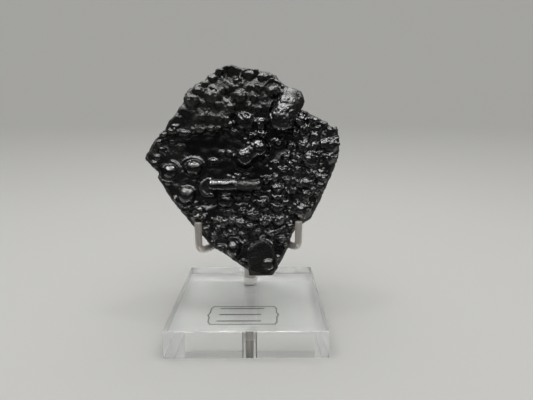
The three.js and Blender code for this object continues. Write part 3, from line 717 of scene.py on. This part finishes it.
def clouds(tree, scale, detail=2):
    """Noise in the object's own coordinates."""
    where = tree.nodes.new("ShaderNodeTexCoord")
    noisy = tree.nodes.new("ShaderNodeTexNoise")
    noisy.inputs["Scale"].default_value = scale
    noisy.inputs["Detail"].default_value = detail
    tree.links.new(where.outputs["Object"], noisy.inputs["Vector"])
    return noisy.outputs["Fac"]


def stretched(tree, source, low, high, target):
    """Feeds the target from a source of 0 to 1, stretched from low to high."""
    node = tree.nodes.new("ShaderNodeMapRange")
    node.inputs["To Min"].default_value = low
    node.inputs["To Max"].default_value = high
    tree.links.new(source, node.inputs["Value"])
    tree.links.new(node.outputs["Result"], target)


def mixed(tree, share, first, second, target):
    """Feeds the target with two colours, mixed by the share."""
    node = tree.nodes.new("ShaderNodeMixRGB")
    node.inputs["Color1"].default_value = (*first, 1)
    node.inputs["Color2"].default_value = (*second, 1)
    tree.links.new(share, node.inputs["Fac"])
    tree.links.new(node.outputs["Color"], target)


def relief(tree, height, distance, target):
    """Feeds a normal with a bump of the given height, and returns the bump."""
    bump = tree.nodes.new("ShaderNodeBump")
    bump.inputs["Distance"].default_value = distance
    tree.links.new(height, bump.inputs["Height"])
    tree.links.new(bump.outputs["Normal"], target)
    return bump


def stone_material():
    """Glossy near-black; where it is rough also greyer, grainy and less reflective."""
    material, tree, shader = new_material("hematite_crust")
    shader.inputs["IOR"].default_value = 1.95
    rough = attribute(tree, "rough")
    stretched(tree, rough, 0.10, 0.5, shader.inputs["Roughness"])
    stretched(tree, rough, 0.6, 0.2, shader.inputs["Specular IOR Level"])
    mixed(tree, rough, (0.002, 0.002, 0.0022), (0.018, 0.016, 0.014), shader.inputs["Base Color"])
    grain = relief(tree, clouds(tree, 1500, 3), 0.0004, shader.inputs["Normal"])
    stretched(tree, rough, 0.12, 1.0, grain.inputs["Strength"])
    where = tree.nodes.new("ShaderNodeTexCoord")
    cells = tree.nodes.new("ShaderNodeTexVoronoi")
    cells.inputs["Scale"].default_value = 850
    tree.links.new(where.outputs["Object"], cells.inputs["Vector"])
    dome = tree.nodes.new("ShaderNodeMapRange")
    dome.interpolation_type = "SMOOTHSTEP"
    dome.inputs["From Min"].default_value = 0.75
    dome.inputs["From Max"].default_value = 0.0
    tree.links.new(cells.outputs["Distance"], dome.inputs["Value"])
    beads = relief(tree, dome.outputs["Result"], 0.0001, grain.inputs["Normal"])
    tree.links.new(attribute(tree, "pebbly"), beads.inputs["Strength"])
    return material


def metal_material():
    """Satin grey-brown metal, slightly cloudy."""
    material, tree, shader = new_material("satin_metal")
    shader.inputs["Metallic"].default_value = 0.7
    cloud = clouds(tree, 260, 4)
    stretched(tree, cloud, 0.34, 0.48, shader.inputs["Roughness"])
    mixed(tree, cloud, (0.52, 0.49, 0.45), (0.66, 0.62, 0.57), shader.inputs["Base Color"])
    bump = relief(tree, cloud, 0.0001, shader.inputs["Normal"])
    bump.inputs["Strength"].default_value = 0.15
    return material


def acrylic_material(name, smoothest, roughest, clear=1.0):
    """Clear acrylic; a lower clear value darkens what is seen through it, which on the block's sides is
    painted shade.
    """
    material, tree, shader = new_material(name)
    shader.inputs["Base Color"].default_value = (0.99 * clear, clear, 0.995 * clear, 1)
    shader.inputs["IOR"].default_value = 1.49
    shader.inputs["Transmission Weight"].default_value = 1
    stretched(tree, clouds(tree, 90), smoothest, roughest, shader.inputs["Roughness"])
    return material


def film_material():
    """A clear film whose refraction is too weak for a bright line under its edge."""
    material, tree, shader = new_material("clear_film")
    shader.inputs["Base Color"].default_value = (0.97, 0.98, 0.97, 1)
    shader.inputs["IOR"].default_value = 1.04
    shader.inputs["Transmission Weight"].default_value = 1
    stretched(tree, clouds(tree, 500), 0.05, 0.14, shader.inputs["Roughness"])
    return material


def ink_material():
    material, tree, shader = new_material("label_ink")
    shader.inputs["Roughness"].default_value = 0.5
    ink = (0.03, 0.03, 0.032)
    mixed(tree, clouds(tree, 400), [0.9 * c for c in ink], ink, shader.inputs["Base Color"])
    return material


# ---- the stand ----
POST = (0.0, 16.5)
POST_RADIUS = 2.5
BORE_RADIUS = 2.8
WIRE = 1.2  # radius of the arms' wire
SEAT_GAP = 0.3  # between the arms and the stone
HOOKS = {
    "arm_left": {"x": -16.6, "y": -5.6, "socket": 26.6, "level": 27.4, "top": 37.5},
    "arm_right": {"x": 17.1, "y": -5.6, "socket": 29.5, "level": 28.4, "top": 37.8},
}
BEND = 2.8  # radius of a hook's bend
SOCKET = 1.6  # how deep an arm stands in the post
BLOCK_SIDE = 50.8
BLOCK_HEIGHT = 9.0
WIRE_SIDES, ROUND_SIDES = 32, 64


def hook_stops(hook):
    """Centre line of a front arm: straight out of the post, then bent upright."""
    out = Vector((hook["x"] - POST[0], hook["y"] - POST[1]))
    reach = out.length
    out.normalize()

    def stop(distance, height):
        return Vector((POST[0] + out.x * distance, POST[1] + out.y * distance, height))

    stops = [stop(POST_RADIUS - SOCKET, hook["socket"])]
    for i in range(15):
        turn = i / 14 * math.pi / 2
        stops.append(stop(reach - BEND * (1 - math.sin(turn)), hook["level"] + BEND * (1 - math.cos(turn))))
    stops.append(stop(reach, hook["top"]))
    return stops


def back_stops():
    """Centre line of the back arm, read from its CAD node's box: up, bowed back, its tip on the stone."""
    low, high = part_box("arm_back")
    foot, top = low.z / MM, high.z / MM - 0.5
    tip_y = low.y / MM + WIRE
    knots = [(POST[1], foot), (POST[1], 35.0), (17.4, 46.0), (tip_y, top)]
    stops = []
    before, after = knots[:1] + knots, knots[2:] + knots[-1:]
    for (y0, z0), (y1, z1), (y2, z2), (y3, z3) in zip(before, knots, knots[1:], after):
        for i in range(8):
            t = i / 8
            stops.append(Vector((POST[0], catmull(y0, y1, y2, y3, t), catmull(z0, z1, z2, z3, t))))
    stops.append(Vector((POST[0], *knots[-1])))
    return stops


def catmull(a, b, c, d, t):
    """A smooth curve from b to c, at t from 0 to 1."""
    bend, twist = 2 * a - 5 * b + 4 * c - d, 3 * b - a - 3 * c + d
    return 0.5 * (2 * b + (c - a) * t + bend * t ** 2 + twist * t ** 3)


def join_rings(shape, rings):
    """Faces between each ring and the next; a ring may be one point, repeated."""
    for low, high in zip(rings, rings[1:]):
        for a, b, c, d in zip(low, low[1:] + low[:1], high[1:] + high[:1], high):
            unique = list(dict.fromkeys((a, b, c, d)))
            if len(unique) > 2:
                shape.faces.new(unique)


def wire_mesh(stops):
    """A round wire along the stops, with slightly rounded ends."""
    shape = bmesh.new()
    last, edge = len(stops) - 1, 0.18
    tangents = [(stops[min(i + 1, last)] - stops[max(i - 1, 0)]).normalized() for i in range(last + 1)]
    foot, tip = tangents[0], tangents[-1]
    sections = [(stops[0], WIRE - edge, foot), (stops[0] + foot * edge, WIRE, foot)]
    sections += [(stop, WIRE, heading) for stop, heading in zip(stops[1:-1], tangents[1:-1])]
    sections += [(stops[-1] - tip * edge, WIRE, tip), (stops[-1] - tip * edge * 0.3, WIRE - edge * 0.3, tip)]
    sections += [(stops[-1], WIRE - edge, tip)]
    side = foot.orthogonal().normalized()
    rings = []
    for centre, size, heading in sections:
        side = (side - heading * side.dot(heading)).normalized()
        other = heading.cross(side)
        ring = []
        for k in range(WIRE_SIDES):
            turn = 2 * math.pi * k / WIRE_SIDES
            ring.append(shape.verts.new(centre + (side * math.cos(turn) + other * math.sin(turn)) * size))
        rings.append(ring)
    join_rings(shape, rings)
    shape.faces.new(list(reversed(rings[0])))
    shape.faces.new(rings[-1])
    return finished(shape, 40)


def lathe_mesh(profile):
    """A round form on the post's axis: pairs of radius and height, closed at both ends."""
    shape = bmesh.new()
    turns = [2 * math.pi * k / ROUND_SIDES for k in range(ROUND_SIDES)]
    rings = []
    for radius, height in profile:
        if radius == 0:
            rings.append([shape.verts.new((*POST, height))] * ROUND_SIDES)
            continue
        ring = [(POST[0] + radius * math.cos(turn), POST[1] + radius * math.sin(turn)) for turn in turns]
        rings.append([shape.verts.new((*point, height)) for point in ring])
    join_rings(shape, rings)
    return finished(shape, 40)


def as_mesh(shape, name):
    """The bmesh as a mesh; it is freed."""
    mesh = bpy.data.meshes.new(name)
    shape.to_mesh(mesh)
    shape.free()
    return mesh


def finished(shape, sharp_angle):
    """The shape as a mesh in metres, smooth except at edges sharper than the angle."""
    bmesh.ops.recalc_face_normals(shape, faces=shape.faces)
    bmesh.ops.scale(shape, vec=(MM, MM, MM), verts=shape.verts)
    for face in shape.faces:
        face.smooth = True
    for edge in shape.edges:
        edge.smooth = edge.calc_face_angle(0) < math.radians(sharp_angle)
    return as_mesh(shape, "piece")


def build_arms(metal):
    """The two front hooks and the back arm."""
    for name, hook in HOOKS.items():
        place(wire_mesh(hook_stops(hook)), name + "_wire", name, metal)
    place(wire_mesh(back_stops()), "arm_back_wire", "arm_back", metal)


def build_post(metal):
    """The post, its foot in the block's bore."""
    foot, top = (corner.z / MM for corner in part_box("post"))
    profile = [(0, foot), (POST_RADIUS - 0.2, foot), (POST_RADIUS, foot + 0.2), (POST_RADIUS, top - 0.5),
               (POST_RADIUS - 0.1, top - 0.2), (POST_RADIUS - 0.4, top), (0, top)]
    place(lathe_mesh(profile), "post_rod", "post", metal)


def build_block():
    """The clear block with softened edges and a blind bore for the post."""
    shape = bmesh.new()
    bmesh.ops.create_cube(shape, size=1)
    bmesh.ops.scale(shape, vec=(BLOCK_SIDE, BLOCK_SIDE, BLOCK_HEIGHT), verts=shape.verts)
    bmesh.ops.translate(shape, vec=(0, 0, BLOCK_HEIGHT / 2), verts=shape.verts)
    edges = [edge for edge in shape.edges if min(v.co.y for v in edge.verts) < 0]
    bmesh.ops.bevel(shape, geom=edges, offset=0.12, segments=2, profile=0.5, affect="EDGES")
    bmesh.ops.scale(shape, vec=(MM, MM, MM), verts=shape.verts)
    block = linked("block", as_mesh(shape, "block"))
    foot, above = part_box("post")[0].z / MM, BLOCK_HEIGHT + 1
    drill = linked("drill", lathe_mesh([(0, foot), (BORE_RADIUS, foot), (BORE_RADIUS, above), (0, above)]))
    cut = block.modifiers.new("bore", "BOOLEAN")
    cut.object = drill
    cut.operation = "DIFFERENCE"
    cut.solver = "EXACT"
    mesh = applied(block)
    bpy.data.objects.remove(drill)
    centre, reach = Vector(POST) * MM, (BORE_RADIUS + 0.5) * MM
    bore = [(p.center.xy - centre).length < reach and abs(p.normal.z) < 0.5 for p in mesh.polygons]
    mesh.polygons.foreach_set("use_smooth", bore)
    clear = acrylic_material("clear_acrylic", 0, 0.05)
    place(mesh, "base_block_clear", "base_block", clear)
    # The sides' acrylic is darkened to 0.42: painted shade for the darker bands seen through the top along
    # the sides.
    mesh.materials.append(acrylic_material("satin_acrylic_painted_shade", 0.4, 0.5, 0.42))
    mesh.materials.append(acrylic_material("sawn_acrylic", 0.1, 0.16))
    # Upright faces other than the front and the bore: the sides satin and darkened as painted shade, the
    # back sawn.
    for face in mesh.polygons:
        if abs(face.normal.z) < 0.5 and face.normal.y > -0.5 and not bore[face.index]:
            face.material_index = 2 if face.normal.y > 0.5 else 1


# One half of the label's ring, and the same turned half round.
LABEL = [
    (-11.75, -9.65), (9.05, -9.65), (9.85, -11.25), (9.85, -14.1), (10.5, -15.6), (9.85, -17.1),
    (9.85, -19.95),
]
LABEL += [(-2.7 - x, -31.2 - y) for x, y in LABEL]


def ribbon(shape, start, end, width, height, low):
    """A thin flat bar of print from start to end."""
    start, end = Vector(start), Vector(end)
    along = (end - start).normalized() * width / 2
    across = Vector((-along.y, along.x))
    corners = [start - along - across, end + along - across, end + along + across, start - along + across]
    bottom = [shape.verts.new((*c, low)) for c in corners]
    top = [shape.verts.new((*c, low + height)) for c in corners]
    shape.faces.new(reversed(bottom))
    shape.faces.new(top)
    for i in range(4):
        j = (i + 1) % 4
        shape.faces.new((bottom[i], bottom[j], top[j], top[i]))


def build_label():
    """A clear film with a printed border and three plain ruled lines."""
    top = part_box("label")[1].z / MM
    face = top - 0.05  # the film's upper side, with the print on it
    shape = prism(LABEL, BLOCK_HEIGHT + 0.02, face)
    film = place(finished(shape, 30), "label_film", "label", film_material())
    film.visible_shadow = False
    shape = bmesh.new()
    ring = [Vector(p) for p in LABEL]
    middle = sum(ring, Vector((0, 0))) / len(ring)
    inner = [p + (middle - p).normalized() * 0.35 for p in ring]
    for a, b in zip(inner, inner[1:] + inner[:1]):
        ribbon(shape, a, b, 0.34, 0.04, face)
    for y, left, right in ((-11.3, -8.9, 5.2), (-15.3, -8.9, 4.2), (-19.4, -9.3, 4.2)):
        ribbon(shape, (left, y), (right, y), 0.5, 0.04, face)
    ink = finished(shape, 30)
    ink.materials.append(ink_material())
    print_piece = linked("label_print", ink)
    print_piece.visible_shadow = False
    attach(print_piece, "root")


# ---- stage, light, camera ----
def build_stage():
    """A round pale floor that sweeps up into a wall on all sides, and a black flag for the gloss."""
    floor, bend, top, slope = 0.18, 0.12, 0.52, math.radians(61)
    profile = [(0.0, -0.0001), (floor, -0.0001)]
    for i in range(1, 25):
        turn = i / 24 * slope
        profile.append((floor + bend * math.sin(turn), bend * (1 - math.cos(turn))))
    profile.append((profile[-1][0] + (top - profile[-1][1]) / math.tan(slope), top))
    material, _, shader = new_material("pale_paper")
    shader.inputs["Base Color"].default_value = (0.29, 0.2875, 0.281, 1)
    shader.inputs["Specular IOR Level"].default_value = 0
    ground = sweep("floor", profile[:2], 0, 360, material)
    behind = sweep("wall_behind", profile[1:], 60, 120, material)
    before = sweep("wall_before", profile[1:], 120, 420, material)
    before.visible_glossy = False
    material, _, shader = new_material("black_flag")
    shader.inputs["Base Color"].default_value = (0.01, 0.01, 0.01, 1)
    flag = sweep("flag", [(0.0, 0.0), (1.2, 0.0)], 180, 360, material)
    flag.location = (0, -0.042, 0.0004)
    flag.visible_camera = flag.visible_diffuse = flag.visible_shadow = flag.visible_transmission = False


def sweep(name, profile, start, end, material):
    """Part of a round surface: pairs of radius and height, from one bearing to another in degrees."""
    shape = bmesh.new()
    steps = max(24, (end - start) // 4)
    rows = []
    for i in range(steps + 1):
        turn = math.radians(start + (end - start) * i / steps)
        rows.append([shape.verts.new((r * math.cos(turn), r * math.sin(turn), z)) for r, z in profile])
    for low, high in zip(rows, rows[1:]):
        for k in range(len(profile) - 1):
            face = shape.faces.new((low[k], low[k + 1], high[k + 1], high[k]))
            face.smooth = True
    bmesh.ops.remove_doubles(shape, verts=shape.verts, dist=1e-6)
    mesh = as_mesh(shape, name)
    mesh.materials.append(material)
    return linked(name, mesh)


def softbox(name, place_at, aim, width, height, power):
    """A rectangular lamp that faces the aim; metres and watts."""
    light = bpy.data.lights.new(name, "AREA")
    light.shape = "RECTANGLE"
    light.size, light.size_y = width, height
    light.energy = power
    lamp = linked(name, light)
    lamp.location = place_at
    lamp.rotation_euler = (Vector(aim) - Vector(place_at)).to_track_quat("-Z", "Y").to_euler()
    return lamp


def build_light():
    """A room that is bright only high up, two small lamps, and one seen only through the block."""
    world = bpy.data.worlds.new("room")
    world.use_nodes = True
    bpy.context.scene.world = world
    nodes, links = world.node_tree.nodes, world.node_tree.links
    where = nodes.new("ShaderNodeTexCoord")
    split = nodes.new("ShaderNodeSeparateXYZ")
    links.new(where.outputs["Generated"], split.inputs["Vector"])
    ramp = nodes.new("ShaderNodeValToRGB")
    ramp.color_ramp.elements[0].position = 0.5
    ramp.color_ramp.elements[0].color = (0.004, 0.004, 0.004, 1)
    ramp.color_ramp.elements[1].position = 0.94
    ramp.color_ramp.elements[1].color = (1, 1, 0.985, 1)
    for stop, value in ((0.70, 0.006), (0.80, 0.06), (0.87, 0.42)):
        ramp.color_ramp.elements.new(stop).color = (value, value, value, 1)
    up = nodes.new("ShaderNodeMapRange")
    up.inputs["From Min"].default_value = -1
    links.new(split.outputs["Z"], up.inputs["Value"])
    links.new(up.outputs["Result"], ramp.inputs["Fac"])
    links.new(ramp.outputs["Color"], nodes["Background"].inputs["Color"])
    nodes["Background"].inputs["Strength"].default_value = 3.9
    world.cycles_visibility.transmission = False  # lamp_above takes its place behind the block
    softbox("lamp_left", (-0.28, -0.12, 0.85), (0, 0, 0.05), 0.05, 0.16, 0.86)
    softbox("lamp_right", (0.28, -0.02, 0.85), (0, 0, 0.05), 0.05, 0.16, 0.86)
    lamp = softbox("lamp_above", (0, 0.45, 0.9), (0, 0.45, 0), 2.4, 1.4, 93.0)
    lamp.visible_diffuse = lamp.visible_glossy = lamp.visible_camera = False


def build_camera():
    """The photo's camera, solved from the block's corners."""
    data = bpy.data.cameras.new("view")
    data.sensor_width = 36
    data.lens = 26.71
    data.clip_start = 0.005
    camera = linked("view", data)
    camera.location = Vector((5.36, -133.1, 73.6)) * MM
    pitch, yaw = math.radians(12.55), math.radians(0.42)
    camera.rotation_euler = (math.pi / 2 - pitch, 0, -yaw)
    bpy.context.scene.camera = camera


build_camera()
build_stage()
build_light()
bpy.context.scene.view_settings.view_transform = "Standard"
metal = metal_material()
build_arms(metal)
build_post(metal)
build_block()
build_label()
build_stone()
